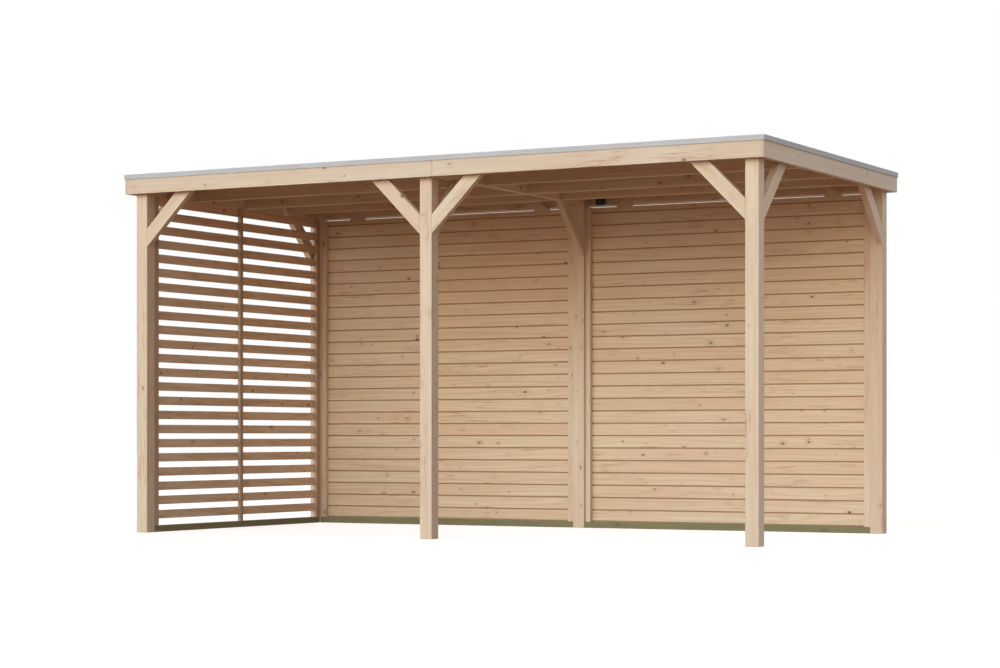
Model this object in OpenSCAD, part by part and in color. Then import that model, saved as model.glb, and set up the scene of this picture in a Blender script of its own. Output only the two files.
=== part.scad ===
// Open timber barbecue shelter with a flat roof.
// Six square posts carry a roof frame of rim boards, a middle beam and joists.
// Knee braces stiffen every bay. The back is clad in shiplap, the left side in a
// screen of horizontal slats, and the front and the right side are open.
//
// The origin is on the ground, midway between the posts both ways.
// X runs along the front to the right, Y from the front to the back, Z up.

/* [Plan] */
// Length along the front, over the outer faces of the corner posts
frame_len = 4662; // [3600:1:5600]
// Depth from front to back, over the outer faces of the posts
frame_dep = 2312; // [1900:1:3000]
// Side of the square posts
post_w = 90; // [80:1:120]

/* [Heights] */
// Underside of the fascia, the clear height at the eaves
head_h = 2353; // [2100:1:2800]
// How far the rim boards stay above the underside of the fascia
rim_lift = 5; // [2:1:10]
// How far the joists and the middle beam stay above the underside of the fascia
joist_lift = 12; // [8:1:20]

/* [Roof frame] */
// Thickness of the rim boards, which are fixed to the outside of the posts
rim_t = 37; // [30:1:45]
// Thickness of the joists and the middle beam
joist_t = 45; // [38:1:60]
// Depth of the joists and the middle beam
joist_h = 87; // [70:1:120]
// Front faces of the three rows of joists, as shares of the depth from the front
joist_rows = [0.305, 0.582, 0.798];
// Thickness of the roof deck
deck_t = 18; // [12:1:25]
// Thickness of the rubber roof sheet
sheet_t = 2; // [1:0.5:3]

/* [Fascia and edge trim] */
// Thickness of the fascia boards
fascia_t = 18; // [15:1:25]
// Joint of the front fascia, to the right of the middle of the front
fascia_joint = 80; // [40:1:140]
// Gap left at each butt joint of the fascia
fascia_gap = 1; // [0.5:0.5:3]
// Metal thickness of the edge trim
trim_t = 2; // [1.5:0.5:3]
// Height of the outer leg of the trim
trim_leg = 33; // [28:1:40]
// How far the trim rises above the rubber sheet
trim_rise = 17; // [12:1:20]
// How far the outer leg of the trim stands in front of the fascia
trim_stand = 3.5; // [2:0.5:6]
// Width of the raised hat of the trim, measured inward from the fascia
trim_hat = 16; // [12:1:24]
// Reach of the flange that is screwed down, measured inward from the fascia
trim_flange = 60; // [45:1:80]

/* [Knee braces] */
// Width of the braces across their length
brace_w = 90; // [70:1:100]
// Thickness of the braces in the front, the sides and the middle
brace_t = 45; // [35:1:50]
// Thickness of the braces behind the back wall
back_brace_t = 22; // [18:1:30]
// Reach of a brace from its post along the fascia, and as much down the post
brace_leg = 366; // [300:1:450]
// How far the brace tops stay below the deck
brace_gap = 12; // [5:1:25]

/* [Sills] */
// Height of the ground sills
sill_h = 44; // [35:1:60]
// Width of the ground sills
sill_w = 68; // [58:1:75]
// How far the sills stay behind the inner faces of the posts
sill_inset = 6; // [3:1:10]

/* [Back wall] */
// Height of the clear slit between the wall and the underside of the fascia
wall_slit = 11; // [6:1:20]
// Cover width of one shiplap plank
plank_cover = 90.5; // [80:0.5:110]
// Thickness of the planks
plank_t = 12; // [10:1:14]
// Height of the strip ripped from a plank to close the top of the wall
top_strip = 40.5; // [30:0.5:70]
// Width of the bevelled groove at each plank joint
groove_w = 8; // [4:1:10]
// Depth of the bevelled groove at each plank joint
groove_d = 4; // [2:0.5:4.5]
// Depth of the upright battens that carry the planks
wall_batten_d = 34; // [24:1:36]
// Width of the batten at the left end of each bay
wall_batten_left = 40; // [35:1:60]
// Width of the batten at the right end of each bay
wall_batten_right = 52; // [35:1:60]
// Gap between the sill and the lowest plank
plank_foot = 3; // [2:1:10]

/* [Slat screen] */
// Height of one slat
slat_h = 60; // [45:1:70]
// Distance from one slat to the next
slat_pitch = 99.8; // [90:0.1:120]
// Thickness of a slat
slat_t = 20; // [18:1:20]
// Underside of the lowest slat
slat_foot = 92; // [75:1:120]
// Depth of the upright battens inside the slats
screen_batten_d = 24; // [20:1:24]
// Width of the battens beside the posts
screen_batten_w = 48; // [40:1:60]
// Width of the batten halfway along the screen
screen_batten_mid = 38; // [30:1:50]

/* [Roof outlet] */
// Distance of the outlet to the right of the middle of the roof
outlet_x = 160; // [120:1:190]
// Distance of the outlet from the inner face of the back rim
outlet_back = 50; // [46:1:60]
// Diameter of the outlet pipe
outlet_d = 72; // [60:1:75]
// Diameter of the collar around the mouth of the pipe
outlet_collar = 78; // [76:1:84]
// Bore of the pipe
outlet_bore = 64; // [50:1:56]
// Height of the collar
outlet_collar_h = 20; // [10:1:30]

/* [Hidden] */
$fn = 64;
eps = 0.5;

// Outer faces of the posts
hx = frame_len / 2;
hy = frame_dep / 2;
// Inner faces of the corner posts, and half a middle post
ix = hx - post_w;
iy = hy - post_w;
px = post_w / 2;
// Heights of the roof, from the frame up
rim_z = head_h + rim_lift;
joist_z = head_h + joist_lift;
deck_z = joist_z + joist_h;
sheet_z = deck_z + deck_t;
seat_z = sheet_z + sheet_t;
top_z = seat_z + trim_rise;
// Inner and outer faces of the fascia, beyond the rim boards
fx_in = hx + rim_t;
fy_in = hy + rim_t;
fx = fx_in + fascia_t;
fy = fy_in + fascia_t;
// The middle beam is flush with the right faces of the middle posts
beam_x0 = px - joist_t;
beam_x1 = px;
// The braces rise behind the rims, and under the middle beam
brace_low = head_h - brace_leg;
brace_cut = brace_w * sqrt(2);
brace_top = deck_z - brace_gap;
// Back wall, from the braces inward
plank_out = hy - back_brace_t;
plank_in = plank_out - plank_t;
wall_top = head_h - wall_slit;
plank_z = sill_h + plank_foot;
plank_rows = floor((wall_top - top_strip - plank_z - groove_w) / plank_cover);
joints = [for (k = [plank_rows : -1 : 0]) wall_top - top_strip - k * plank_cover];
// Slat screen, from the braces inward
slat_clear = 1;
slat_out = -hx + brace_t + slat_clear;
slat_in = slat_out + slat_t;
slat_n = floor((head_h - slat_foot - slat_h) / slat_pitch) + 1;

wood_lit = "#d9c5a2";
wood_mid = "#c9ab83";
wood_dark = "#a8825e";
wood_green = "#8a8b62";
metal_grey = "#b9bcbd";
rubber_black = "#2c2d2f";

// A straight piece of timber between two corners
module timber(lo, hi) {
    translate(lo)
        cube(hi - lo);
}

// A post with its foot at the ground and its head under the deck
module post(x, y) {
    timber([x, y, 0], [x + post_w, y + post_w, deck_z]);
}

// One brace at 45 degrees, running from a post face at x = 0 towards +X
module brace(top, thick) {
    rotate([90, 0, 0])
        translate([0, 0, -thick])
            linear_extrude(thick)
                polygon([
                    [0, brace_low],
                    [top - brace_low, top],
                    [top - brace_low - brace_cut, top],
                    [0, brace_low + brace_cut]
                ]);
}

// Two braces facing each other across an opening from x0 to x1
module brace_pair(x0, x1, top, thick) {
    translate([x0, 0, 0])
        brace(top, thick);
    translate([x1, 0, 0])
        mirror([1, 0, 0])
            brace(top, thick);
}

// Two braces facing each other along Y, in a plane that starts at x
module brace_pair_side(x, top, thick) {
    translate([x, 0, 0])
        rotate([0, 0, 90])
            mirror([0, 1, 0])
                brace_pair(-iy, iy, top, thick);
}

// Section of the edge trim: a hat over the fascia with a leg outside and a flange inside
module trim_section() {
    polygon([
        [trim_stand + trim_t, top_z - trim_leg],
        [trim_stand + trim_t, top_z],
        [-trim_hat, top_z],
        [-trim_hat, seat_z + trim_t],
        [-trim_flange, seat_z + trim_t],
        [-trim_flange, seat_z],
        [-trim_hat + trim_t, seat_z],
        [-trim_hat + trim_t, top_z - trim_t],
        [trim_stand, top_z - trim_t],
        [trim_stand, top_z - trim_leg]
    ]);
}

// One trim length along Y, centred, with its outer side at x = edge and mitred ends
module trim(edge, half) {
    reach = half + trim_stand + trim_t;
    difference() {
        translate([edge, reach, 0])
            rotate([90, 0, 0])
                linear_extrude(2 * reach)
                    trim_section();
        for (side = [-1, 1])
            translate([edge + trim_stand + trim_t, side * reach, 0])
                mirror([0, side < 0 ? 1 : 0, 0])
                    rotate([0, 0, 45])
                        translate([-2 * trim_flange, 0, seat_z - trim_leg])
                            cube([4 * trim_flange, 2 * trim_flange, 2 * trim_leg]);
    }
}

// Shiplap section in the Y-Z plane: a flat sheet with a bevelled groove at every joint
module shiplap_section() {
    half = groove_w / 2;
    inner = [for (z = joints) each [[plank_in, z - half], [plank_in + groove_d, z], [plank_in, z + half]]];
    outer = [for (z = joints) each [[plank_out, z - half], [plank_out - groove_d, z], [plank_out, z + half]]];
    n = len(outer);
    polygon(concat(
        [[plank_in, plank_z]],
        inner,
        [[plank_in, wall_top], [plank_out, wall_top]],
        [for (i = [n - 1 : -1 : 0]) outer[i]],
        [[plank_out, plank_z]]
    ));
}

// One bay of shiplap from x0 to x1
module cladding(x0, x1) {
    translate([x0, 0, 0])
        rotate([90, 0, 90])
            linear_extrude(x1 - x0)
                shiplap_section();
}

// Upright batten of the back wall
module wall_batten(x, w) {
    timber([x, plank_in - wall_batten_d, sill_h], [x + w, plank_in, wall_top]);
}

// Upright batten of the slat screen
module screen_batten(y, w) {
    timber([slat_in, y, sill_h], [slat_in + screen_batten_d, y + w, head_h - rim_lift]);
}

// Three joists in one bay; the back ones stop at the braces of the outer side
module joist_bay(x0, x1, brace_side) {
    for (i = [0 : len(joist_rows) - 1]) {
        y = -hy + joist_rows[i] * frame_dep;
        short = i == len(joist_rows) - 1 ? brace_t : 0;
        timber(
            [x0 + (brace_side < 0 ? short : 0), y, joist_z],
            [x1 - (brace_side > 0 ? short : 0), y + joist_t, deck_z]
        );
    }
}

module post_front_left() { color(wood_lit) post(-hx, -hy); }
module post_front_middle() { color(wood_lit) post(-px, -hy); }
module post_front_right() { color(wood_lit) post(ix, -hy); }
module post_back_left() { color(wood_mid) post(-hx, iy); }
module post_back_middle() { color(wood_mid) post(-px, iy); }
module post_back_right() { color(wood_mid) post(ix, iy); }

module braces_front() {
    color(wood_lit)
        translate([0, -hy, 0]) {
            brace_pair(-ix, -px, brace_top, brace_t);
            brace_pair(px, ix, brace_top, brace_t);
        }
}

module braces_back() {
    color(wood_mid)
        translate([0, hy - back_brace_t, 0]) {
            brace_pair(-ix, -px, brace_top, back_brace_t);
            brace_pair(px, ix, brace_top, back_brace_t);
        }
}

module braces_left() { color(wood_mid) brace_pair_side(-hx, brace_top, brace_t); }
module braces_right() { color(wood_lit) brace_pair_side(hx - brace_t, brace_top, brace_t); }
module braces_middle() { color(wood_mid) brace_pair_side(px - brace_t, joist_z, brace_t); }

module rim_front() { color(wood_dark) timber([-fx_in, -fy_in, rim_z], [fx_in, -hy, deck_z]); }
module rim_back() { color(wood_dark) timber([-fx_in, hy, rim_z], [fx_in, fy_in, deck_z]); }
module rim_left() { color(wood_dark) timber([-fx_in, -hy, rim_z], [-hx, hy, deck_z]); }
module rim_right() { color(wood_dark) timber([hx, -hy, rim_z], [fx_in, hy, deck_z]); }

module middle_beam() { color(wood_dark) timber([beam_x0, -iy, joist_z], [beam_x1, iy, deck_z]); }
module joists_left() { color(wood_dark) joist_bay(-hx, beam_x0, -1); }
module joists_right() { color(wood_dark) joist_bay(beam_x1, hx, 1); }

module fascia_front_left() {
    color(wood_lit)
        timber([-fx_in, -fy, head_h], [fascia_joint - fascia_gap, -fy_in, sheet_z]);
}

module fascia_front_right() {
    color(wood_lit)
        timber([fascia_joint, -fy, head_h], [fx_in, -fy_in, sheet_z]);
}

module fascia_back_left() {
    color(wood_lit)
        timber([-fx_in, fy_in, head_h], [fascia_joint - fascia_gap, fy, sheet_z]);
}

module fascia_back_right() {
    color(wood_lit)
        timber([fascia_joint, fy_in, head_h], [fx_in, fy, sheet_z]);
}

module fascia_left() { color(wood_lit) timber([-fx, -fy, head_h], [-fx_in, fy, sheet_z]); }
module fascia_right() { color(wood_lit) timber([fx_in, -fy, head_h], [fx, fy, sheet_z]); }

// The deck is cut out for the pipe of the outlet
module roof_deck() {
    color(wood_mid)
        difference() {
            timber([-fx_in, -fy_in, deck_z], [fx_in, fy_in, sheet_z]);
            translate([outlet_x, hy - outlet_back, deck_z - eps])
                cylinder(h = deck_t + 2 * eps, d = outlet_d);
        }
}

module roof_sheet() {
    color(rubber_black)
        difference() {
            timber([-fx, -fy, sheet_z], [fx, fy, seat_z]);
            translate([outlet_x, hy - outlet_back, sheet_z - eps])
                cylinder(h = sheet_t + 2 * eps, d = outlet_bore);
        }
}

module trim_right() { color(metal_grey) trim(fx, fy); }
module trim_left() { color(metal_grey) mirror([1, 0, 0]) trim(fx, fy); }
module trim_back() { color(metal_grey) rotate([0, 0, 90]) trim(fy, fx); }
module trim_front() { color(metal_grey) rotate([0, 0, -90]) trim(fy, fx); }

module sill_back_left() {
    color(wood_green)
        timber([-ix, iy + sill_inset, 0], [-px, iy + sill_inset + sill_w, sill_h]);
}

module sill_back_right() {
    color(wood_green)
        timber([px, iy + sill_inset, 0], [ix, iy + sill_inset + sill_w, sill_h]);
}

module sill_left() {
    color(wood_green)
        timber([-ix - sill_inset - sill_w, -iy, 0], [-ix - sill_inset, iy, sill_h]);
}

module wall_batten_1() { color(wood_mid) wall_batten(-ix, wall_batten_left); }
module wall_batten_2() { color(wood_mid) wall_batten(-px - wall_batten_right, wall_batten_right); }
module wall_batten_3() { color(wood_mid) wall_batten(px, wall_batten_left); }
module wall_batten_4() { color(wood_mid) wall_batten(ix - wall_batten_right, wall_batten_right); }

module cladding_back_left() { color(wood_mid) cladding(-ix, -px); }
module cladding_back_right() { color(wood_mid) cladding(px, ix); }

module slat_screen() {
    color(wood_mid)
        for (k = [0 : slat_n - 1])
            translate([0, 0, slat_foot + k * slat_pitch])
                timber([slat_out, -iy, 0], [slat_in, iy, slat_h]);
}

module screen_batten_front() { color(wood_mid) screen_batten(-iy, screen_batten_w); }
module screen_batten_middle() { color(wood_mid) screen_batten(-screen_batten_mid / 2, screen_batten_mid); }
module screen_batten_back() { color(wood_mid) screen_batten(iy - screen_batten_w, screen_batten_w); }

// A plastic pipe hung in the deck, with a collar around its open mouth
module roof_outlet() {
    color(rubber_black)
        translate([outlet_x, hy - outlet_back, 0])
            difference() {
                union() {
                    translate([0, 0, rim_z])
                        cylinder(h = sheet_z - rim_z, d = outlet_d);
                    translate([0, 0, rim_z])
                        cylinder(h = outlet_collar_h, d = outlet_collar);
                }
                translate([0, 0, rim_z - eps])
                    cylinder(h = sheet_z - rim_z + 2 * eps, d = outlet_bore);
            }
}

post_front_left();
post_front_middle();
post_front_right();
post_back_left();
post_back_middle();
post_back_right();
braces_front();
braces_back();
braces_left();
braces_right();
braces_middle();
rim_front();
rim_back();
rim_left();
rim_right();
middle_beam();
joists_left();
joists_right();
fascia_front_left();
fascia_front_right();
fascia_back_left();
fascia_back_right();
fascia_left();
fascia_right();
roof_deck();
roof_sheet();
trim_front();
trim_back();
trim_left();
trim_right();
sill_back_left();
sill_back_right();
sill_left();
wall_batten_1();
wall_batten_2();
wall_batten_3();
wall_batten_4();
cladding_back_left();
cladding_back_right();
slat_screen();
screen_batten_front();
screen_batten_middle();
screen_batten_back();
roof_outlet();
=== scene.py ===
"""An open timber barbecue shelter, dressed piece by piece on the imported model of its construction.

X runs along the front to the right, Y from the front to the back and Z up. Lengths are in metres.
"""

import math
import random

import bmesh
import bpy
from mathutils import Matrix, Vector


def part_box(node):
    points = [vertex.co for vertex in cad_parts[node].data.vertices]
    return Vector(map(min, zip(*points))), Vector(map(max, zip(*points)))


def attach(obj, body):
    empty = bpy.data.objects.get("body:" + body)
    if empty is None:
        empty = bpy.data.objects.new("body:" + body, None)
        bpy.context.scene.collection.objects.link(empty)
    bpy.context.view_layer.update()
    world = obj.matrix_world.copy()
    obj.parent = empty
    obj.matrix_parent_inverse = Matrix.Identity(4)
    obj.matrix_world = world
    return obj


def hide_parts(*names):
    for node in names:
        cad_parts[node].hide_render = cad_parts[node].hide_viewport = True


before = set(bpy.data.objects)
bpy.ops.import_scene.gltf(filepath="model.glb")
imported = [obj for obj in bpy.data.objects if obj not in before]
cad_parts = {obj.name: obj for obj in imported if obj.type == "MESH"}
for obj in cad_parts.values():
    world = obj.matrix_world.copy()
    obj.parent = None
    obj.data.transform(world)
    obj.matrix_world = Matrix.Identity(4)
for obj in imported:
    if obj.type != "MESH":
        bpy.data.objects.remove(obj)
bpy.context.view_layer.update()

# ---------------------------------------------------------------------------------------------
# Studio: the shelter stands on a pale floor in a white room. Five soft lamps, whose tints make
# nearly plain light together, shine into its open front. The room glows behind it and to its right.

scene = bpy.context.scene
scene.view_settings.view_transform = "Standard"

camera_data = bpy.data.cameras.new("camera")
camera_data.lens = 86.68
camera_data.shift_y = 0.1019
camera_data.clip_end = 200
camera = bpy.data.objects.new("camera", camera_data)
camera.location = (7.8924, -14.7074, 0.6723)
camera.rotation_euler = (math.pi / 2, 0, math.radians(28.447))
scene.collection.objects.link(camera)
scene.camera = camera


def soft_lamp(name, azimuth, elevation, spread, strength, colour):
    """A far, wide lamp. Azimuth 0 is in front of the shelter and 90 to its right. Angles are in degrees."""
    data = bpy.data.lights.new(name, "SUN")
    data.energy = strength
    data.angle = math.radians(spread)
    data.color = colour
    turn = math.radians(azimuth)
    rise = math.radians(elevation)
    towards = Vector((math.sin(turn) * math.cos(rise), -math.cos(turn) * math.cos(rise), math.sin(rise)))
    lamp = bpy.data.objects.new(name, data)
    lamp.rotation_euler = towards.to_track_quat("Z", "Y").to_euler()
    scene.collection.objects.link(lamp)


soft_lamp("window_light", -15, 14, 40, 0.84, (0.86, 1.0, 0.94))
soft_lamp("door_light", 15, 14, 40, 1.04, (1.0, 0.88, 0.55))
soft_lamp("side_light", -45, 14, 40, 1.05, (0.86, 0.95, 1.0))
soft_lamp("low_light", -15, 6, 20, 0.4, (1.0, 0.43, 0.02))
soft_lamp("high_light", 0, 26, 40, 0.68, (0.2, 0.62, 1.0))


class Wire:
    """An output of a node. Arithmetic on it adds Math nodes to its tree, and node() adds any other node."""

    def __init__(self, tree, socket=None):
        self.tree = tree
        self.socket = socket

    def node(self, kind, settings=None, inputs=None, output=None):
        """Adds a node: its settings first, then a value or a link for each input, by name or number."""
        made = self.tree.nodes.new(kind)
        for name, value in (settings or {}).items():
            setattr(made, name, value)
        for key, value in (inputs or {}).items():
            socket = made.inputs[key] if isinstance(key, int) else self.open_socket(made.inputs, key)
            for part in value if isinstance(value, list) else [value]:
                if isinstance(part, Wire):
                    self.tree.links.new(part.socket, socket)
                else:
                    socket.default_value = part
        return Wire(self.tree, self.open_socket(made.outputs, output) if len(made.outputs) else None)

    @staticmethod
    def open_socket(sockets, name):
        """The first socket in use that has this name, or the first in use at all."""
        return next(socket for socket in sockets if socket.enabled and name in (None, socket.name))

    def other(self, output):
        """Another output of the same node."""
        return Wire(self.tree, self.open_socket(self.socket.node.outputs, output))

    def maths(self, operation, first, second=0.0):
        return self.node("ShaderNodeMath", {"operation": operation}, {0: first, 1: second})

    def __add__(self, other):
        return self.maths("ADD", self, other)

    def __radd__(self, other):
        return self.maths("ADD", other, self)

    def __sub__(self, other):
        return self.maths("SUBTRACT", self, other)

    def __rsub__(self, other):
        return self.maths("SUBTRACT", other, self)

    def __mul__(self, other):
        return self.maths("MULTIPLY", self, other)

    def __rmul__(self, other):
        return self.maths("MULTIPLY", other, self)

    def __truediv__(self, other):
        return self.maths("DIVIDE", self, other)

    def __pow__(self, other):
        return self.maths("POWER", self, other)

    def __mod__(self, other):
        return self.maths("FLOORED_MODULO", self, other)

    def __gt__(self, other):
        return self.maths("GREATER_THAN", self, other)

    def __abs__(self):
        return self.maths("ABSOLUTE", self)

    def vector(self, operation, other=(0, 0, 0)):
        """Vector Math with this wire as the first vector."""
        return self.node("ShaderNodeVectorMath", {"operation": operation}, {0: self, 1: other})

    def mix(self, first, second):
        """A colour between two others, with this wire as the factor."""
        colours = [colour if isinstance(colour, Wire) else (*colour, 1) for colour in (first, second)]
        return self.node("ShaderNodeMix", {"data_type": "RGBA"},
                         {"Factor": self, "A": colours[0], "B": colours[1]})

    def step(self, low, high):
        """0 up to low and 1 from high on, with a smooth change between them."""
        return self.node("ShaderNodeMapRange", {"interpolation_type": "SMOOTHSTEP"},
                         {"Value": self, "From Min": low, "From Max": high})


room = bpy.data.worlds.new("room")
room.use_nodes = True
room.node_tree.nodes.clear()
wire = Wire(room.node_tree)
ray = wire.node("ShaderNodeLightPath")
seen = ray.other("Is Camera Ray") + ray.other("Is Glossy Ray") + ray.other("Is Transmission Ray")
direction = wire.node("ShaderNodeTexCoord").other("Generated")
facing = wire.node("ShaderNodeSeparateXYZ", None, {"Vector": direction})
right_wall = facing.other("X").step(0, 1)
left_wall = (facing.other("X") * -1.0).step(0, 1)
back_wall = facing.other("Y").step(0, 1)
ceiling = facing.other("Z").step(0, 1)
pale_walls = right_wall * 0.68 + back_wall * 0.9 + (left_wall + ceiling) * 0.12 + 0.02
glow = wire.node("ShaderNodeBackground", None,
                 {"Color": right_wall.mix((1.0, 1.0, 1.0), (0.88, 0.95, 1.0)), "Strength": pale_walls})
white = wire.node("ShaderNodeBackground", None, {"Color": (1, 1, 1, 1), "Strength": 1.0})
shown = wire.node("ShaderNodeMixShader", None, {0: seen.step(0, 1), 1: glow, 2: white})
wire.node("ShaderNodeOutputWorld", None, {"Surface": shown})
scene.world = room


def blank_finish(name):
    """A new material with nothing in its node tree yet, and a wire on that tree."""
    material = bpy.data.materials.new(name)
    material.use_nodes = True
    material.node_tree.nodes.clear()
    return material, Wire(material.node_tree)


floor_paint, wire = blank_finish("floor_paint")
ray = wire.node("ShaderNodeLightPath")
seen = (ray.other("Is Camera Ray") + ray.other("Is Glossy Ray") + ray.other("Is Transmission Ray")).step(0, 1)
coat = wire.node("ShaderNodeBsdfDiffuse", None, {"Color": seen.mix((0.33, 0.15, 0.08), (0.52, 0.44, 0.41))})
lift = wire.node("ShaderNodeEmission", None, {"Color": seen.mix((0, 0, 0), (0.77, 0.77, 0.77))})
both = wire.node("ShaderNodeAddShader", None, {0: coat, 1: lift})
wire.node("ShaderNodeOutputMaterial", None, {"Surface": both})

floor_half = 60
floor_mesh = bpy.data.meshes.new("floor")
floor_mesh.from_pydata([(-floor_half, -floor_half, 0), (floor_half, -floor_half, 0),
                        (floor_half, floor_half, 0), (-floor_half, floor_half, 0)], [], [(0, 1, 2, 3)])
floor_mesh.materials.append(floor_paint)
floor = bpy.data.objects.new("floor", floor_mesh)
scene.collection.objects.link(floor)

# ---------------------------------------------------------------------------------------------
# Posts: six square posts of planed spruce, 90 mm, with eased arrises. They stand on the ground
# and run up to the roof deck.

SPRUCE_PALE = (0.715, 0.615, 0.50)
SPRUCE_ROSY = (0.68, 0.52, 0.415)
SPRUCE_LATE = (0.50, 0.33, 0.20)
KNOT_BROWN = (0.12, 0.055, 0.025)
RESIN_RED = (0.42, 0.20, 0.11)
# The next colour is painted shade, laid deep in the joints of the wall planks.
SEAM_SHADE = (0.345, 0.18, 0.083)


def timber_finish(name, pale=SPRUCE_PALE, rosy=SPRUCE_ROSY, late=SPRUCE_LATE, knot=KNOT_BROWN,
                  contrast=1.0, roughness=0.6):
    """Solid planed softwood. The attribute "grain" is the place in the log, whose heart lies along X,
    "tone" is how one board differs from the next and "cut" marks the sawn ends. The depth of a joint
    darkens the colour there, as painted shade."""
    material, wire = blank_finish(name)
    grain = wire.node("ShaderNodeAttribute", {"attribute_name": "grain"}).other("Vector")
    tone = wire.node("ShaderNodeAttribute", {"attribute_name": "tone"}).other("Fac")
    cut = wire.node("ShaderNodeAttribute", {"attribute_name": "cut"}).other("Fac")
    hollow = wire.node("ShaderNodeAttribute", {"attribute_name": "hollow"}).other("Fac")

    def noise(along, across, detail=2.0):
        """Noise with so many waves a metre along the grain and across it."""
        place = grain.vector("MULTIPLY", (along, across, across))
        return wire.node("ShaderNodeTexNoise", None, {"Vector": place, "Scale": 1.0, "Detail": detail})

    # Knots: each cell of the log holds one branch, which is round where it meets a face
    cell = (0.23, 0.072, 0.052)
    tile = tuple(1 / side for side in cell)
    branch = wire.node("ShaderNodeTexVoronoi", None, {"Vector": grain.vector("MULTIPLY", tile), "Scale": 1.0})
    away = grain.vector("SUBTRACT", branch.other("Position").vector("MULTIPLY", cell))
    distance = away.vector("MULTIPLY", (0.55, 1, 1)).vector("LENGTH") + noise(60, 90, 1) * 0.006 - 0.003
    luck = wire.node("ShaderNodeSeparateColor", None, {"Color": branch.other("Color")})
    size = luck ** 2.5 * 0.009 + 0.0034
    core = (1 - (distance / size).step(0.55, 1.0)) * (luck.other("Green") * 0.6 + 0.4)
    halo = 1 - (distance / size).step(0.8, 3.5)

    # Growth rings about the heart, which wanders along the log and bends round the knots
    wander = noise(0.8, 6, 1).other("Color").vector("SUBTRACT", (0.5, 0.5, 0.5))
    bent = grain.vector("ADD", wander.vector("MULTIPLY", (0, 0.020, 0.020)))
    radius = bent.vector("MULTIPLY", (0, 1, 1)).vector("LENGTH") + halo * 0.003
    ring = (radius / 0.0042 + noise(0.5, 20, 0) * 1.5) % 1.0
    latewood = ring.step(0.25, 0.95) * (1 - ring.step(0.95, 1.0))

    fibre = noise(9, 520, 1)
    streak = noise(1.4, 48).step(0.35, 0.75)
    fleck = noise(8, 210, 1).step(0.54, 0.64) * noise(2.2, 12, 1).step(0.55, 0.68)
    patch = noise(0.9, 4, 1).step(0.3, 0.7)

    body = (patch * 0.7 + tone * 0.22 + 0.15).mix(pale, rosy)
    body = (latewood * (0.24 * contrast) + streak * (0.20 * contrast)).mix(body, late)
    body = (fibre.step(0.35, 0.7) * (0.10 * contrast)).mix(body, late)
    body = (fleck * 0.6).mix(body, RESIN_RED)
    body = (halo * 0.28).mix(body, late)
    body = (core * 0.95).mix(body, knot)
    body = (cut * 0.45).mix(body, late)
    # Painted shade: the colour darkens deep in each joint, in place of the shade that falls there.
    body = (hollow * 0.9).mix(body, SEAM_SHADE)

    height = fibre * 0.4 + latewood * 0.5 - core * 0.6
    bump = wire.node("ShaderNodeBump", None, {"Strength": 0.35, "Distance": 0.0006, "Height": height})
    gloss = fibre * 0.16 - core * 0.15 + (roughness - 0.08)
    skin = wire.node("ShaderNodeBsdfPrincipled", None,
                     {"Base Color": body, "Roughness": gloss, "Normal": bump, "Specular IOR Level": 0.35})
    wire.node("ShaderNodeOutputMaterial", None, {"Surface": skin})
    return material


def islands(mesh):
    """The vertices of a bmesh in groups that hang together, in the order of the mesh."""
    left = set(mesh.verts)
    groups = []
    for start in mesh.verts:
        if start not in left:
            continue
        left.discard(start)
        group = [start]
        for vertex in group:
            for edge in vertex.link_edges:
                near = edge.other_vert(vertex)
                if near in left:
                    left.discard(near)
                    group.append(near)
        groups.append(group)
    return groups


def solid_copy(node, arris):
    """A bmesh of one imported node, with whole faces again and its edges eased by a bevel."""
    mesh = bmesh.new()
    mesh.from_mesh(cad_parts[node].data)
    bmesh.ops.remove_doubles(mesh, verts=mesh.verts, dist=1e-5)
    bmesh.ops.dissolve_limit(mesh, angle_limit=0.01, verts=mesh.verts, edges=mesh.edges)
    bmesh.ops.bevel(mesh, geom=mesh.edges[:], offset=arris, segments=2, profile=0.5, affect="EDGES")
    mesh.normal_update()
    return mesh


def finish_piece(name, mesh, material, nodes=(), crease=12):
    """Puts a finished mesh in the scene as one piece, in place of the nodes that it stands for."""
    if material:
        mesh.materials.clear()
        mesh.materials.append(material)
    mesh.shade_smooth()
    mesh.set_sharp_from_angle(angle=math.radians(crease))
    piece = bpy.data.objects.new(name, mesh)
    scene.collection.objects.link(piece)
    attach(piece, "root")
    if nodes:
        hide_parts(*nodes)
    return piece


def planed(node, material, arris=0.002, heart=(0.02, 0.09)):
    """A sawn piece of the frame with eased arrises, the grain laid along its longest edge.
    heart is how near and how far the heart of the log lies from the middle of the piece."""
    draw = random.Random(node)
    mesh = solid_copy(node, arris)
    grain = mesh.verts.layers.float_vector.new("grain")
    tone = mesh.verts.layers.float.new("tone")
    cut = mesh.faces.layers.float.new("cut")
    for group in islands(mesh):
        edges = [edge for vertex in group for edge in vertex.link_edges]
        longest = max(edges, key=lambda edge: round(edge.calc_length(), 5))
        along = (longest.verts[1].co - longest.verts[0].co).normalized()
        flat = along.cross(Vector((0, 0, 1) if abs(along.z) < 0.9 else (1, 0, 0))).normalized()
        across = along.cross(flat)
        middle = sum((vertex.co for vertex in group), Vector()) / len(group)
        turn = draw.uniform(0, 2 * math.pi)
        offset = draw.uniform(*heart)
        shift = Vector((draw.uniform(0, 40), offset * math.cos(turn), offset * math.sin(turn)))
        shade = draw.uniform(-1, 1)
        for vertex in group:
            place = vertex.co - middle
            vertex[grain] = Vector((place.dot(along), place.dot(flat), place.dot(across))) + shift
            vertex[tone] = shade
            for face in vertex.link_faces:
                face[cut] = 1.0 if abs(face.normal.dot(along)) > 0.6 else 0.0
    made = bpy.data.meshes.new(node + "_planed")
    mesh.to_mesh(made)
    mesh.free()
    return finish_piece(node + "_planed", made, material, [node])


post_nodes = ["post_front_left", "post_front_middle", "post_front_right",
              "post_back_left", "post_back_middle", "post_back_right"]
post_finish = timber_finish("post_spruce")
for node in post_nodes:
    planed(node, post_finish, arris=0.004, heart=(0.01, 0.05))

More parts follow.
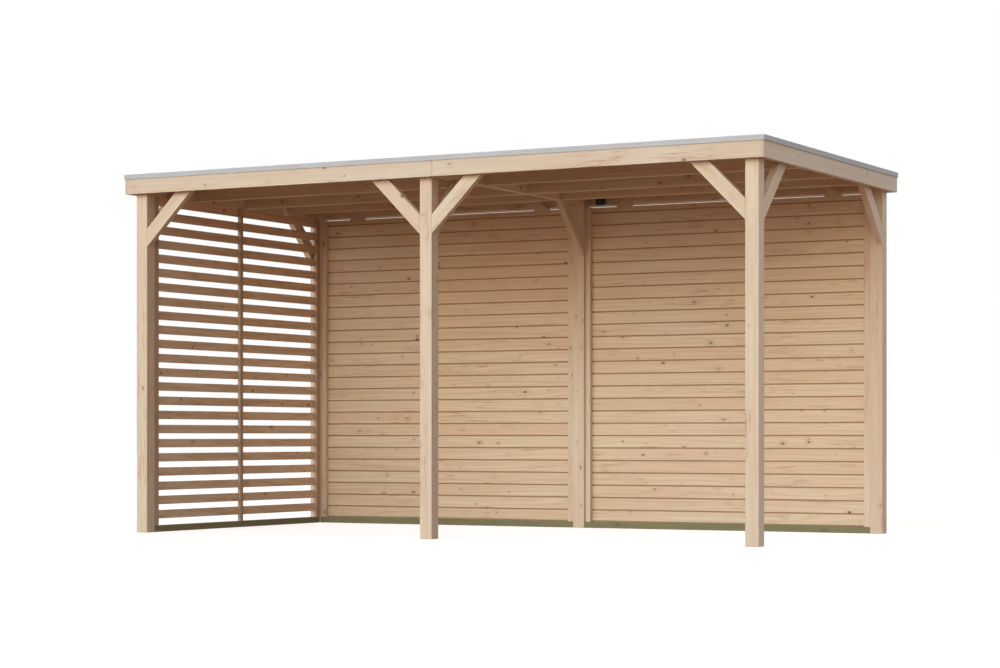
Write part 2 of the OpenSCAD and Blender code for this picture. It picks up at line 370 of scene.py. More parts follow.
# ---------------------------------------------------------------------------------------------
# Ground sills: pressure-treated pine, laid between the posts under the back wall and the slat
# screen. The salt leaves them olive green.

sill_finish = timber_finish("green_treated_pine", (0.26, 0.235, 0.135), (0.195, 0.185, 0.10),
                            (0.115, 0.105, 0.05), (0.09, 0.08, 0.04), contrast=0.7, roughness=0.75)
for node in ("sill_back_left", "sill_back_right", "sill_left"):
    planed(node, sill_finish)

# ---------------------------------------------------------------------------------------------
# Roof frame: rim boards round the outside of the posts, a middle beam from front to back and
# three joists in each bay, all planed spruce on edge.

ROOF_PALE = (0.79, 0.69, 0.58)
ROOF_ROSY = (0.72, 0.60, 0.46)
ROOF_LATE = (0.48, 0.29, 0.17)
roof_finish = timber_finish("roof_spruce", ROOF_PALE, ROOF_ROSY, ROOF_LATE)
for node in ("rim_front", "rim_back", "rim_left", "rim_right", "middle_beam", "joists_left", "joists_right"):
    planed(node, roof_finish, heart=(0.03, 0.12))

# ---------------------------------------------------------------------------------------------
# Knee braces: short planks cut at 45 degrees at both ends and screwed to the posts and the rims,
# so that the open bays stay square.

brace_finish = timber_finish("brace_spruce")
for node in ("braces_front", "braces_left", "braces_right", "braces_middle"):
    planed(node, brace_finish)
planed("braces_back", roof_finish)

# ---------------------------------------------------------------------------------------------
# Roof deck: 18 mm tongued boards laid from front to back over the joists, bevelled at the joints
# on the underside, with a hole for the outlet pipe.


def blank_tree(name, inputs, output):
    """A wire on the inputs, as (name, kind), of a new Geometry Nodes tree that gives one geometry."""
    tree = bpy.data.node_groups.new(name, "GeometryNodeTree")
    for title, kind in inputs:
        tree.interface.new_socket(name=title, in_out="INPUT", socket_type="NodeSocket" + kind)
    tree.interface.new_socket(name=output, in_out="OUTPUT", socket_type="NodeSocketGeometry")
    return Wire(tree).node("NodeGroupInput")


def painted(given, geometry):
    """The geometry with the finish that the tree was given."""
    return given.node("GeometryNodeSetMaterial", None,
                      {"Geometry": geometry, "Material": given.other("Finish")})


def board_row_tree():
    """Geometry Nodes: draws a section out to one board and repeats it, each board from another log."""
    given = blank_tree("board_row", (("Section", "Geometry"), ("Run", "Vector"), ("Step", "Vector"),
                                     ("Count", "Int"), ("Seed", "Int"), ("Heart", "Float"),
                                     ("Finish", "Material")), "Boards")
    section = given.other("Section")
    along = given.other("Run").vector("NORMALIZE")
    across = given.other("Step").vector("NORMALIZE")
    seed = given.other("Seed")

    def store(geometry, name, value, domain, kind):
        return given.node("GeometryNodeStoreNamedAttribute", {"data_type": kind, "domain": domain},
                          {"Geometry": geometry, "Name": name, "Value": value})

    def stored(name):
        return given.node("GeometryNodeInputNamedAttribute", {"data_type": "FLOAT_VECTOR"}, {"Name": name})

    def draw(kind, low, high, seed):
        return given.node("FunctionNodeRandomValue", {"data_type": kind},
                          {"Min": low, "Max": high, "Seed": seed})

    # One board: the drawn section, its near end closed by the section's own face
    drawn = given.node("GeometryNodeExtrudeMesh", None,
                       {"Mesh": section, "Offset": along, "Offset Scale": given.other("Run").vector("LENGTH"),
                        "Individual": False})
    near_end = given.node("GeometryNodeFlipFaces", None, {"Mesh": section})
    joined = given.node("GeometryNodeJoinGeometry", None, {"Geometry": [drawn, near_end]})
    board = given.node("GeometryNodeMergeByDistance", None, {"Geometry": joined, "Distance": 1e-5})

    # Its grain runs along it, and its ends are marked as cut
    place = given.node("GeometryNodeInputPosition")
    parts = {"X": place.vector("DOT_PRODUCT", along), "Y": place.vector("DOT_PRODUCT", across),
             "Z": place.vector("DOT_PRODUCT", along.vector("CROSS_PRODUCT", across))}
    board = store(board, "grain", given.node("ShaderNodeCombineXYZ", None, parts), "POINT", "FLOAT_VECTOR")
    facing = abs(given.node("GeometryNodeInputNormal").vector("DOT_PRODUCT", along))
    board = store(board, "cut", facing > 0.6, "FACE", "FLOAT")

    # The row, with its own stretch of log and its own tone for each board
    line = given.node("GeometryNodeMeshLine", {"mode": "OFFSET"},
                      {"Count": given.other("Count"), "Offset": given.other("Step")})
    row = given.node("GeometryNodeInstanceOnPoints", None, {"Points": line, "Instance": board})
    heart = given.other("Heart")
    low = given.node("ShaderNodeCombineXYZ", None, {"X": 0.0, "Y": heart * -1.0, "Z": heart * -1.0})
    high = given.node("ShaderNodeCombineXYZ", None, {"X": 40.0, "Y": heart, "Z": heart})
    row = store(row, "shift", draw("FLOAT_VECTOR", low, high, seed), "INSTANCE", "FLOAT_VECTOR")
    row = store(row, "tone", draw("FLOAT", -1.0, 1.0, seed + 1.0), "INSTANCE", "FLOAT")
    boards = given.node("GeometryNodeRealizeInstances", None, {"Geometry": row})
    boards = store(boards, "grain", stored("grain").vector("ADD", stored("shift")), "POINT", "FLOAT_VECTOR")
    given.node("NodeGroupOutput", None, {"Boards": painted(given, boards)})
    return given.tree


def grown(tree, mesh, values):
    """The mesh that a Geometry Nodes tree makes of another mesh, with the values of its named inputs."""
    seedling = bpy.data.objects.new("seedling", mesh)
    scene.collection.objects.link(seedling)
    modifier = seedling.modifiers.new("grow", "NODES")
    modifier.node_group = tree
    for item in tree.interface.items_tree:
        if item.in_out == "INPUT" and item.name in values:
            modifier[item.identifier] = values[item.name]
    graph = bpy.context.evaluated_depsgraph_get()
    made = bpy.data.meshes.new_from_object(seedling.evaluated_get(graph))
    bpy.data.objects.remove(seedling)
    return made


def flat_section(corners, depths=None):
    """One flat face through the corners, to be drawn out to a board, with how deep each lies in a joint,
    which sets the painted shade there.
    """
    mesh = bpy.data.meshes.new("section")
    mesh.from_pydata(corners, [], [range(len(corners))])
    # How deep each corner lies in a joint, stored for the painted shade in the joints.
    hollow = mesh.attributes.new("hollow", "FLOAT", "POINT")
    hollow.data.foreach_set("value", depths or [0.0] * len(corners))
    return mesh


def joined_mesh(name, meshes):
    """Several meshes as one, each with its attributes."""
    parts = []
    for mesh in meshes:
        part = bpy.data.objects.new(name, mesh)
        scene.collection.objects.link(part)
        parts.append(part)
    with bpy.context.temp_override(active_object=parts[0], selected_editable_objects=parts):
        bpy.ops.object.join()
    mesh = parts[0].data
    bpy.data.objects.remove(parts[0])
    mesh.name = name
    return mesh


def drilled(mesh, at, diameter, low, high):
    """A mesh with an upright round hole through it."""
    drill = bmesh.new()
    bmesh.ops.create_cone(drill, cap_ends=True, segments=48, radius1=diameter / 2, radius2=diameter / 2,
                          depth=high - low)
    bmesh.ops.translate(drill, verts=drill.verts, vec=(at.x, at.y, (high + low) / 2))
    drill_mesh = bpy.data.meshes.new("drill")
    drill.to_mesh(drill_mesh)
    drill.free()
    cutter = bpy.data.objects.new("drill", drill_mesh)
    blank = bpy.data.objects.new("blank", mesh)
    scene.collection.objects.link(cutter)
    scene.collection.objects.link(blank)
    hole = blank.modifiers.new("hole", "BOOLEAN")
    hole.object = cutter
    hole.solver = "EXACT"
    graph = bpy.context.evaluated_depsgraph_get()
    made = bpy.data.meshes.new_from_object(blank.evaluated_get(graph))
    bpy.data.objects.remove(blank)
    bpy.data.objects.remove(cutter)
    return made


board_row = board_row_tree()
outlet_low, outlet_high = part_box("roof_outlet")
outlet_at = (outlet_low + outlet_high) / 2
pipe_outer = 0.072
pipe_bore = 0.064
drill_reach = 0.01

deck_low, deck_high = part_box("roof_deck")
deck_count = 50
deck_cover = (deck_high.x - deck_low.x) / deck_count
deck_bevel = 0.003
deck_seam = 0.0004
deck_tongue = 0.005
deck_groove = deck_tongue + 0.001
groove_play = 0.0005
x0 = deck_low.x
x1 = x0 + deck_cover
z0 = deck_low.z
z1 = deck_high.z
tongue_low = z0 + 0.007
tongue_high = z0 + 0.012
tongue_side = [(x1 - deck_seam, tongue_low), (x1 + deck_tongue, tongue_low),
               (x1 + deck_tongue, tongue_high), (x1 - deck_seam, tongue_high)]
groove_side = [(x0, tongue_high + groove_play), (x0 + deck_groove, tongue_high + groove_play),
               (x0 + deck_groove, tongue_low - groove_play), (x0, tongue_low - groove_play)]
deck_corners = [(x0 + deck_bevel, z0), (x1 - deck_bevel, z0), (x1 - deck_seam, z0 + deck_bevel),
                *tongue_side, (x1 - deck_seam, z1), (x0, z1), *groove_side, (x0, z0 + deck_bevel)]
deck_finish = timber_finish("deck_board", ROOF_PALE, ROOF_ROSY, ROOF_LATE, contrast=1.3)
deck_parts = []
for first, count in ((0, deck_count - 1), (deck_count - 1, 1)):
    last = [corner for corner in deck_corners if corner not in tongue_side]
    corners = deck_corners if count > 1 else last
    section = flat_section([(x + first * deck_cover, deck_low.y, z) for x, z in corners])
    deck_parts.append(grown(board_row, section,
                            {"Run": (0, deck_high.y - deck_low.y, 0), "Step": (deck_cover, 0, 0),
                             "Count": count, "Seed": 3 + first, "Heart": 0.07, "Finish": deck_finish}))
deck_mesh = drilled(joined_mesh("deck", deck_parts), outlet_at, pipe_outer,
                    z0 - drill_reach, z1 + drill_reach)
finish_piece("roof_deck_boards", deck_mesh, None, ["roof_deck"])

# ---------------------------------------------------------------------------------------------
# Fascia: planed boards screwed to the outside of the rims. The side boards run through, the
# front and back ones butt between them and meet near the middle.

fascia_nodes = ["fascia_front_left", "fascia_front_right", "fascia_back_left", "fascia_back_right",
                "fascia_left", "fascia_right"]
fascia_finish = timber_finish("fascia_spruce", (0.67, 0.59, 0.495), (0.635, 0.50, 0.41))
for node in fascia_nodes:
    planed(node, fascia_finish, arris=0.0015, heart=(0.02, 0.07))

# ---------------------------------------------------------------------------------------------
# Back wall: upright battens screwed to the posts and standing on the sill, and tongued shiplap
# planks screwed across them from outside. Each joint shows a shadow gap inside and a V outside.

batten_finish = timber_finish("wall_batten_spruce")
for node in ("wall_batten_1", "wall_batten_2", "wall_batten_3", "wall_batten_4"):
    planed(node, batten_finish)

plank_cover = 0.0905
top_strip = 0.0405
gap_below = 0.0033
gap_above = 0.0028
gap_depth = 0.0055
eased_top = 0.001
eased_foot = 0.0045
vee = 0.0025
vee_seam = 0.0008
tongue = 0.005
tongue_back = 0.0035
tongue_play = 0.0003
sill_play = 0.0024
# The depth in a joint from which the painted shade is full.
darkest_depth = 0.004
plank_finish = timber_finish("shiplap_spruce", (0.75, 0.60, 0.455), (0.705, 0.515, 0.38))


def plank_corners(front, back, low, high, foot=False, head=False):
    """Section of a plank from joint to joint, as (y, z). A foot has a lip that closes the gap to the sill,
    and a head is sawn straight."""
    rest = front + gap_depth
    if foot:
        lower = [(front, low + gap_above + eased_foot), (front + eased_foot, low + gap_above),
                 (rest, low + gap_above), (rest, low - sill_play), (back, low - sill_play)]
    else:
        lower = [(front, low + gap_above + eased_foot), (front + eased_foot, low + gap_above),
                 (rest - tongue_play, low + gap_above), (rest - tongue_play, low + tongue + 0.001),
                 (back - tongue_back + tongue_play, low + tongue + 0.001),
                 (back - tongue_back + tongue_play, low + vee_seam), (back - vee, low + vee_seam),
                 (back, low + vee_seam + vee)]
    if head:
        upper = [(back, high), (front, high)]
    else:
        upper = [(back, high - vee_seam - vee), (back - vee, high - vee_seam),
                 (back - tongue_back, high - vee_seam), (back - tongue_back, high + tongue),
                 (rest, high + tongue), (rest, high - gap_below), (front + eased_top, high - gap_below),
                 (front, high - gap_below - eased_top)]
    return lower + upper


for side, node in enumerate(("cladding_back_left", "cladding_back_right")):
    low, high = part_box(node)
    full_rows = math.floor((high.z - top_strip - low.z) / plank_cover)
    first_joint = high.z - top_strip - full_rows * plank_cover
    wall = []
    for part, (z_low, z_high, count) in enumerate((
            (low.z, first_joint, 1),
            (first_joint, first_joint + plank_cover, full_rows),
            (high.z - top_strip, high.z, 1))):
        corners = plank_corners(low.y, high.y, z_low, z_high, foot=part == 0, head=part == 2)
        # Painted shade: corners deep in a joint get a darker colour.
        depths = [min(1.0, min(y - low.y, high.y - y) / darkest_depth) for y, z in corners]
        section = flat_section([(low.x, y, z) for y, z in corners], depths)
        wall.append(grown(board_row, section,
                          {"Run": (high.x - low.x, 0, 0), "Step": (0, 0, plank_cover), "Count": count,
                           "Seed": 20 + 10 * side + part, "Heart": 0.08, "Finish": plank_finish}))
    finish_piece(node + "_planks", joined_mesh(node + "_planks", wall), None, [node])

# ---------------------------------------------------------------------------------------------
# Slat screen: level slats with rounded arrises, screwed from outside to three upright battens.

slat_height = 0.060
slat_pitch = 0.0998
slat_round = 0.003
slat_finish = timber_finish("slat_spruce", (0.78, 0.62, 0.465), (0.72, 0.515, 0.375),
                            (0.50, 0.31, 0.185), contrast=1.4)
# The upright battens get a darker copy of the same spruce: painted shade for the shade they stand in behind
# the slats.
shaded_upright_finish = timber_finish("slat_batten_shaded_spruce", (0.51, 0.37, 0.28), (0.445, 0.295, 0.21),
                               (0.31, 0.17, 0.095))
low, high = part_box("slat_screen")
slat_count = round((high.z - low.z - slat_height) / slat_pitch) + 1
corner_steps = (0, 30, 60, 90)
slat_corners = []
for x, z, start in ((high.x, low.z, 270), (high.x, low.z + slat_height, 0),
                    (low.x, low.z + slat_height, 90), (low.x, low.z, 180)):
    centre_x = x - slat_round if x == high.x else x + slat_round
    centre_z = z + slat_round if z == low.z else z - slat_round
    for degrees in corner_steps:
        angle = math.radians(start + degrees)
        slat_corners.append((centre_x + slat_round * math.cos(angle), low.y,
                             centre_z + slat_round * math.sin(angle)))
slat_mesh = grown(board_row, flat_section(slat_corners[::-1]),
                  {"Run": (0, high.y - low.y, 0), "Step": (0, 0, slat_pitch), "Count": slat_count,
                   "Seed": 61, "Heart": 0.06, "Finish": slat_finish})
finish_piece("slat_screen_slats", slat_mesh, None, ["slat_screen"])
for node in ("screen_batten_front", "screen_batten_middle", "screen_batten_back"):
    planed(node, shaded_upright_finish)

# ---------------------------------------------------------------------------------------------
# Roof sheet: one piece of black rubber glued to the deck, with the faint ripples that it keeps
# from its roll. It runs under the flange of the trim.


def ripple_sheet_tree():
    """Geometry Nodes: a thin closed sheet with ripples that die away towards its edges."""
    given = blank_tree("ripple_sheet", (("Blank", "Geometry"), ("Width", "Float"), ("Depth", "Float"),
                                        ("Thickness", "Float"), ("Top", "Float"), ("Ripple", "Float"),
                                        ("Edge", "Float"), ("Finish", "Material")), "Sheet")
    width = given.other("Width")
    depth = given.other("Depth")
    edge = given.other("Edge")
    grid = given.node("GeometryNodeMeshGrid", None,
                      {"Size X": width, "Size Y": depth, "Vertices X": 150, "Vertices Y": 76})
    place = given.node("GeometryNodeInputPosition")
    across = given.node("ShaderNodeSeparateXYZ", None, {"Vector": place})
    from_side = width / 2 - abs(across.other("X")) - edge
    from_front = depth / 2 - abs(across.other("Y")) - edge
    inside = (from_side / edge).step(0, 1) * (from_front / edge).step(0, 1)
    stretched = place.vector("MULTIPLY", (1.0, 0.25, 1.0))
    wave = given.node("ShaderNodeTexNoise", None, {"Vector": stretched, "Scale": 3.2, "Detail": 2.0})
    lift = wave.other("Fac").step(0.42, 0.72) * inside * given.other("Ripple") + given.other("Top")
    up = given.node("ShaderNodeCombineXYZ", None, {"Z": lift})
    top = given.node("GeometryNodeSetPosition", None, {"Geometry": grid, "Offset": up})
    down = given.node("ShaderNodeCombineXYZ", None, {"Z": given.other("Thickness") * -1.0})
    under = given.node("GeometryNodeFlipFaces", None, {"Mesh": top})
    drawn = given.node("GeometryNodeExtrudeMesh", None,
                       {"Mesh": under, "Offset": down, "Offset Scale": 1.0, "Individual": False})
    joined = given.node("GeometryNodeJoinGeometry", None, {"Geometry": [drawn, top]})
    sheet = given.node("GeometryNodeMergeByDistance", None, {"Geometry": joined, "Distance": 1e-5})
    given.node("NodeGroupOutput", None, {"Sheet": painted(given, sheet)})
    return given.tree


rubber_finish, wire = blank_finish("black_rubber_sheet")
place = wire.node("ShaderNodeTexCoord").other("Object")
dust = wire.node("ShaderNodeTexNoise", None, {"Vector": place, "Scale": 2.5, "Detail": 4.0})
speck = wire.node("ShaderNodeTexNoise", None, {"Vector": place, "Scale": 240.0, "Detail": 1.0})
film = dust.other("Fac").step(0.42, 0.75)
body = (film * 0.6 + speck * 0.2).mix((0.020, 0.021, 0.023), (0.075, 0.074, 0.070))
bump = wire.node("ShaderNodeBump", None, {"Strength": 0.3, "Distance": 0.0006, "Height": speck})
skin = wire.node("ShaderNodeBsdfPrincipled", None,
                 {"Base Color": body, "Roughness": film * 0.12 + 0.78, "Normal": bump,
                  "Specular IOR Level": 0.3})
wire.node("ShaderNodeOutputMaterial", None, {"Surface": skin})

low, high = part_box("roof_sheet")
sheet_mesh = grown(ripple_sheet_tree(), bpy.data.meshes.new("blank"),
                   {"Width": high.x - low.x, "Depth": high.y - low.y, "Thickness": high.z - low.z,
                    "Top": high.z, "Ripple": 0.002, "Edge": 0.09, "Finish": rubber_finish})
sheet_mesh = drilled(sheet_mesh, outlet_at, pipe_bore, low.z - drill_reach, high.z + drill_reach)
finish_piece("roof_sheet_rubber", sheet_mesh, None, ["roof_sheet"], crease=35)

# ---------------------------------------------------------------------------------------------
# Edge trim: folded aluminium in a hat shape over the fascia, mitred at the corners. A leg hangs
# in front of the fascia and a flange is screwed down on the rubber.

trim_finish, wire = blank_finish("grey_aluminium")
place = wire.node("ShaderNodeTexCoord").other("Object")
roll = wire.node("ShaderNodeTexNoise", None,
                 {"Vector": place.vector("MULTIPLY", (1.5, 1.5, 60.0)), "Scale": 1.0, "Detail": 2.0})
bloom = wire.node("ShaderNodeTexNoise", None, {"Vector": place, "Scale": 7.0, "Detail": 3.0})
grit = wire.node("ShaderNodeTexNoise", None, {"Vector": place, "Scale": 900.0, "Detail": 0.0})
patina = bloom.other("Fac").step(0.3, 0.7) * 0.5 + roll * 0.3
body = patina.mix((0.362, 0.358, 0.385), (0.405, 0.398, 0.425))
bump = wire.node("ShaderNodeBump", None, {"Strength": 0.1, "Distance": 0.0003, "Height": grit})
skin = wire.node("ShaderNodeBsdfPrincipled", None,
                 {"Base Color": body, "Metallic": 0.1, "Roughness": roll * 0.12 + 0.45, "Normal": bump})
wire.node("ShaderNodeOutputMaterial", None, {"Surface": skin})

for node in ("trim_front", "trim_back", "trim_left", "trim_right"):
    folded = bpy.data.meshes.new(node + "_folded")
    mesh = solid_copy(node, arris=0.0004)
    mesh.to_mesh(folded)
    mesh.free()
    finish_piece(node + "_folded", folded, trim_finish, [node])

# ---------------------------------------------------------------------------------------------
# Roof outlet: a black plastic pipe through the deck, with a ribbed collar round its mouth, a flange
# on the sheet and a low slotted leaf guard.

plastic_finish, wire = blank_finish("black_plastic")
place = wire.node("ShaderNodeTexCoord").other("Object")
haze = wire.node("ShaderNodeTexNoise", None, {"Vector": place, "Scale": 30.0, "Detail": 2.0})
body = haze.mix((0.012, 0.012, 0.013), (0.028, 0.028, 0.029))
skin = wire.node("ShaderNodeBsdfPrincipled", None,
                 {"Base Color": body, "Roughness": haze * 0.2 + 0.4, "Specular IOR Level": 0.3})
wire.node("ShaderNodeOutputMaterial", None, {"Surface": skin})


def turned(rings, centre, segments=48):
    """A closed solid turned about an upright axis, from (radius, height) points round its section."""
    mesh = bmesh.new()
    loops = []
    for radius, height in rings:
        loop = []
        for step in range(segments):
            angle = 2 * math.pi * step / segments
            loop.append(mesh.verts.new((centre.x + radius * math.cos(angle),
                                        centre.y + radius * math.sin(angle), height)))
        loops.append(loop)
    for first, second in zip(loops, loops[1:] + loops[:1]):
        for step in range(segments):
            ahead = (step + 1) % segments
            mesh.faces.new((first[step], first[ahead], second[ahead], second[step]))
    bmesh.ops.recalc_face_normals(mesh, faces=mesh.faces)
    made = bpy.data.meshes.new("turned")
    mesh.to_mesh(made)
    mesh.free()
    return made


sheet_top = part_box("roof_sheet")[1].z
collar = 0.078 / 2
collar_height = 0.020
collar_edge = 0.001
first_rib = 0.004
rib_count = 3
rib_pitch = 0.005
rib_step = 0.001
rib_groove = 0.0012
bore = pipe_bore / 2
pipe = pipe_outer / 2
foot = outlet_low.z
rings = [(bore, foot + collar_edge), (bore + collar_edge, foot), (collar - collar_edge, foot),
         (collar, foot + collar_edge)]
for rib in range(rib_count):
    start = foot + first_rib + rib_pitch * rib
    rings += [(collar, start), (collar - rib_groove, start + rib_step),
              (collar - rib_groove, start + 2 * rib_step), (collar, start + 3 * rib_step)]
rings += [(collar, foot + collar_height - collar_edge), (collar - collar_edge, foot + collar_height),
          (pipe, foot + collar_height), (pipe, sheet_top), (bore, sheet_top)]
outlet_mesh = turned(rings, outlet_at)

flange = 0.128 / 2
flange_edge = 0.002
flange_rings = [(bore, sheet_top), (flange - flange_edge, sheet_top), (flange, sheet_top + 0.0008),
                (flange - flange_edge, sheet_top + 0.0022), (bore + 0.006, sheet_top + 0.003),
                (bore, sheet_top + 0.0015)]
flange_mesh = turned(flange_rings, outlet_at)

cap = 0.078 / 2
cap_hole = 0.012 / 2
cap_edge = 0.003
cap_top = sheet_top + 0.0145
cap_rings = [(cap_hole, cap_top - cap_edge), (cap - cap_edge, cap_top - cap_edge),
             (cap, cap_top - cap_edge / 2), (cap - cap_edge, cap_top), (cap_hole, cap_top)]
cap_mesh = turned(cap_rings, outlet_at)

bar_count = 16
bar_circle = 0.071 / 2
bar_size = (0.003, 0.004, 0.0115)
bar_middle = sheet_top + 0.0067
bars = bmesh.new()
for step in range(bar_count):
    turn = Matrix.Rotation(2 * math.pi * step / bar_count, 4, "Z")
    spot = turn @ Matrix.Translation((bar_circle, 0, 0))
    bmesh.ops.create_cube(bars, size=1.0, matrix=spot @ Matrix.Diagonal((*bar_size, 1)))
bmesh.ops.translate(bars, verts=bars.verts, vec=(outlet_at.x, outlet_at.y, bar_middle))
bar_mesh = bpy.data.meshes.new("bars")
bars.to_mesh(bar_mesh)
bars.free()
outlet_parts = [outlet_mesh, flange_mesh, cap_mesh, bar_mesh]
finish_piece("roof_outlet_pipe", joined_mesh("roof_outlet_pipe", outlet_parts), plastic_finish,
             ["roof_outlet"], crease=25)

# ---------------------------------------------------------------------------------------------
# Screws: stainless countersunk heads, flush with the timber, in the fascia, the slats, the wall
# planks and the underside of the braces, and flat heads on the flange of the trim.


def screw_tree():
    """Geometry Nodes: one screw head with a round socket on each point, turned at random."""
    given = blank_tree("screws", (("Points", "Geometry"), ("Head", "Float"), ("Stand", "Float"),
                                  ("Seed", "Int"), ("Finish", "Material")), "Screws")
    radius = given.other("Head") / 2
    stand = given.other("Stand")

    def drawn(mesh, top, height):
        """The face of a mesh, or the top of a drawn one, drawn out again by a height."""
        return given.node("GeometryNodeExtrudeMesh", None,
                          {"Mesh": mesh, "Selection": top, "Offset": (0, 0, 1), "Offset Scale": height,
                           "Individual": False})

    def narrowed(mesh, top, share):
        return given.node("GeometryNodeScaleElements", None,
                          {"Geometry": mesh, "Selection": top, "Scale": share})

    # One head: a low drum with a rounded crown and a socket sunk in it, closed by a face underneath
    disc = given.node("GeometryNodeMeshCircle", {"fill_type": "NGON"}, {"Vertices": 12, "Radius": radius})
    rim = drawn(disc, True, stand)
    crown = narrowed(rim, rim.other("Top"), 0.86)
    lip = drawn(crown, rim.other("Top"), 0.0)
    mouth = narrowed(lip, lip.other("Top"), 0.5)
    socket = drawn(mouth, lip.other("Top"), stand * -0.9)
    under = given.node("GeometryNodeFlipFaces", None, {"Mesh": disc})
    closed = given.node("GeometryNodeJoinGeometry", None, {"Geometry": [socket, under]})
    head = given.node("GeometryNodeMergeByDistance", None, {"Geometry": closed, "Distance": 1e-6})

    # Each head faces the way that its point aims, and is turned at random about that
    aim = given.node("GeometryNodeInputNamedAttribute", {"data_type": "FLOAT_VECTOR"}, {"Name": "aim"})
    facing = given.node("FunctionNodeAlignRotationToVector", {"axis": "Z"}, {"Vector": aim})
    angle = given.node("FunctionNodeRandomValue", {"data_type": "FLOAT"},
                       {"Min": 0.0, "Max": 2 * math.pi, "Seed": given.other("Seed")})
    spin = given.node("FunctionNodeAxisAngleToRotation", None, {"Axis": (0, 0, 1), "Angle": angle})
    turn = given.node("FunctionNodeRotateRotation", {"rotation_space": "LOCAL"},
                      {"Rotation": facing, "Rotate By": spin})
    heads = given.node("GeometryNodeInstanceOnPoints", None,
                       {"Points": given.other("Points"), "Instance": head, "Rotation": turn})
    heads = given.node("GeometryNodeRealizeInstances", None, {"Geometry": heads})
    given.node("NodeGroupOutput", None, {"Screws": painted(given, heads)})
    return given.tree


screw_row = screw_tree()
screw_finish, wire = blank_finish("stainless_screw")
place = wire.node("ShaderNodeTexCoord").other("Object")
turning = wire.node("ShaderNodeTexNoise", None, {"Vector": place, "Scale": 600.0, "Detail": 1.0})
body = turning.mix((0.42, 0.41, 0.40), (0.55, 0.54, 0.53))
skin = wire.node("ShaderNodeBsdfPrincipled", None,
                 {"Base Color": body, "Metallic": 0.9, "Roughness": turning * 0.2 + 0.25})
wire.node("ShaderNodeOutputMaterial", None, {"Surface": skin})


def screws(name, places, head=0.007, stand=0.0008, seed=5):
    """A screw head at each of the places, given as (point, direction that the head faces)."""
    points = bpy.data.meshes.new("points")
    points.from_pydata([point for point, aim in places], [], [])
    aims = points.attributes.new("aim", "FLOAT_VECTOR", "POINT")
    aims.data.foreach_set("vector", [part for point, aim in places for part in aim])
    made = grown(screw_row, points, {"Head": head, "Stand": stand, "Seed": seed, "Finish": screw_finish})
    return finish_piece(name, made, None)


def spread(low, high, margin, spacing):
    """Even places between two ends, no further apart than the spacing."""
    gaps = math.ceil((high - low - 2 * margin) / spacing)
    return [low + margin + (high - low - 2 * margin) * step / gaps for step in range(gaps + 1)]


flush = 0.0004
fascia_rows = (0.028, 0.078)
fascia_margin = 0.045
fascia_spacing = 0.62
fascia_places = []
for node in fascia_nodes:
    low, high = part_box(node)
    rows = [low.z + height for height in fascia_rows]
    if "front" in node or "back" in node:
        aim = (0, -1, 0) if "front" in node else (0, 1, 0)
        y = low.y + flush if "front" in node else high.y - flush
        fascia_places += [((x, y, z), aim) for x in spread(low.x, high.x, fascia_margin, fascia_spacing)
                          for z in rows]
    else:
        aim = (-1, 0, 0) if "left" in node else (1, 0, 0)
        x = low.x + flush if "left" in node else high.x - flush
        fascia_places += [((x, y, z), aim) for y in spread(low.y, high.y, fascia_margin, fascia_spacing)
                          for z in rows]
screws("fascia_screws", fascia_places)
fascia_low = Vector((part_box("fascia_left")[0].x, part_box("fascia_front_left")[0].y, 0))
fascia_high = Vector((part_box("fascia_right")[1].x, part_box("fascia_back_left")[1].y, 0))

slat_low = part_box("slat_screen")[0]
slat_screw_heights = (0.016, 0.044)
slat_places = []
for node in ("screen_batten_front", "screen_batten_middle", "screen_batten_back"):
    low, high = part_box(node)
    middle = (low.y + high.y) / 2
    for row in range(slat_count):
        z = slat_low.z + row * slat_pitch
        for height in slat_screw_heights:
            slat_places.append(((slat_low.x + flush, middle, z + height), (-1, 0, 0)))
screws("slat_screws", slat_places)

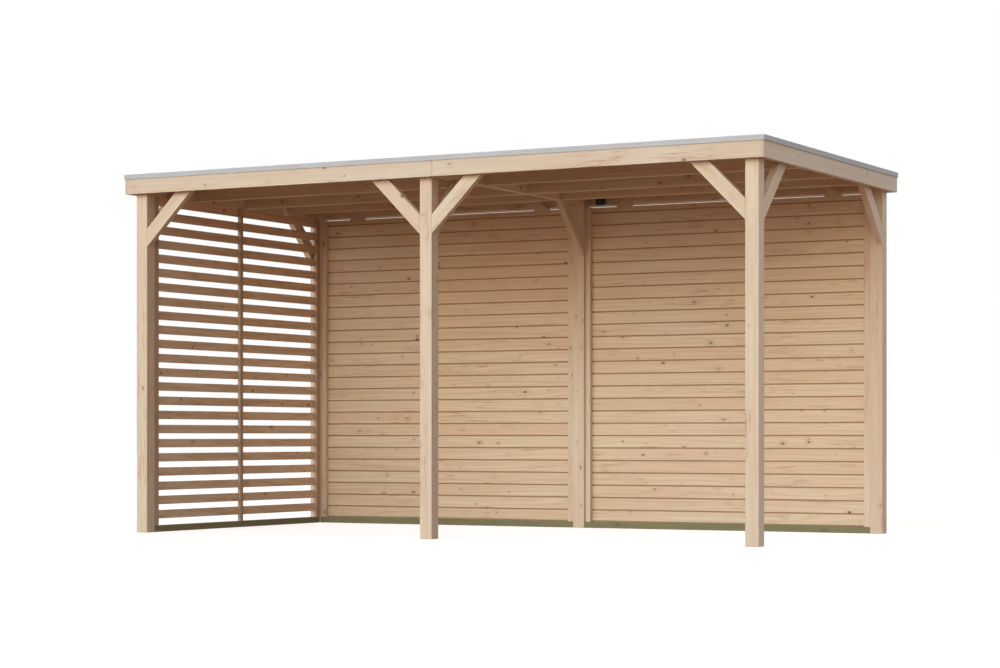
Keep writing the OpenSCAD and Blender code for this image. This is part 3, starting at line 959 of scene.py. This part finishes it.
plank_screw_height = 0.025
lowest_screw = 0.02
plank_places = []
wall_low, wall_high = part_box("cladding_back_left")
for node in ("wall_batten_1", "wall_batten_2", "wall_batten_3", "wall_batten_4"):
    low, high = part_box(node)
    middle = (low.x + high.x) / 2
    for row in range(full_rows + 1):
        z = max(first_joint + (row - 1) * plank_cover + plank_screw_height, wall_low.z + lowest_screw)
        plank_places.append(((middle, wall_high.y - flush, z), (0, 1, 0)))
screws("plank_screws", plank_places, head=0.006)


def part_boxes(node):
    """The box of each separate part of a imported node, as (low, high)."""
    mesh = bmesh.new()
    mesh.from_mesh(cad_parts[node].data)
    bmesh.ops.remove_doubles(mesh, verts=mesh.verts, dist=1e-5)
    boxes = []
    for group in islands(mesh):
        sides = list(zip(*(vertex.co for vertex in group)))
        boxes.append((Vector([min(side) for side in sides]), Vector([max(side) for side in sides])))
    mesh.free()
    return boxes


brace_inset = 0.07
post_boxes = [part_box(node) for node in post_nodes]
brace_places = []
for node in ("braces_front", "braces_left", "braces_right", "braces_middle"):
    for low, high in part_boxes(node):
        run = 0 if high.x - low.x > high.y - low.y else 1
        after_post = min(abs(low[run] - post_high[run]) for post_low, post_high in post_boxes)
        before_post = min(abs(high[run] - post_low[run]) for post_low, post_high in post_boxes)
        away = 1 if after_post < before_post else -1
        outward = Vector((away, 0, 0)) if run == 0 else Vector((0, away, 0))
        aim = (outward - Vector((0, 0, 1))).normalized()
        climb = (outward + Vector((0, 0, 1))).normalized()
        foot = (low + high) / 2
        foot[run] = low[run] if away > 0 else high[run]
        foot.z = low.z
        length = (high.z - low.z) * math.sqrt(2)
        for way in (brace_inset, length - brace_inset):
            brace_places.append((tuple(foot + climb * way - aim * flush), tuple(aim)))
screws("brace_screws", brace_places)

flange_inset = 0.042
corner_inset = 0.12
flange_spacing = 0.30
trim_thickness = 0.002
flange_top = sheet_top + trim_thickness
up = (0, 0, 1)
flange_places = []
for x in spread(fascia_low.x + corner_inset, fascia_high.x - corner_inset, 0, flange_spacing):
    flange_places += [((x, fascia_low.y + flange_inset, flange_top), up),
                      ((x, fascia_high.y - flange_inset, flange_top), up)]
for y in spread(fascia_low.y + corner_inset, fascia_high.y - corner_inset, 0, flange_spacing):
    flange_places += [((fascia_low.x + flange_inset, y, flange_top), up),
                      ((fascia_high.x - flange_inset, y, flange_top), up)]
screws("trim_screws", flange_places, head=0.009, stand=0.0016)
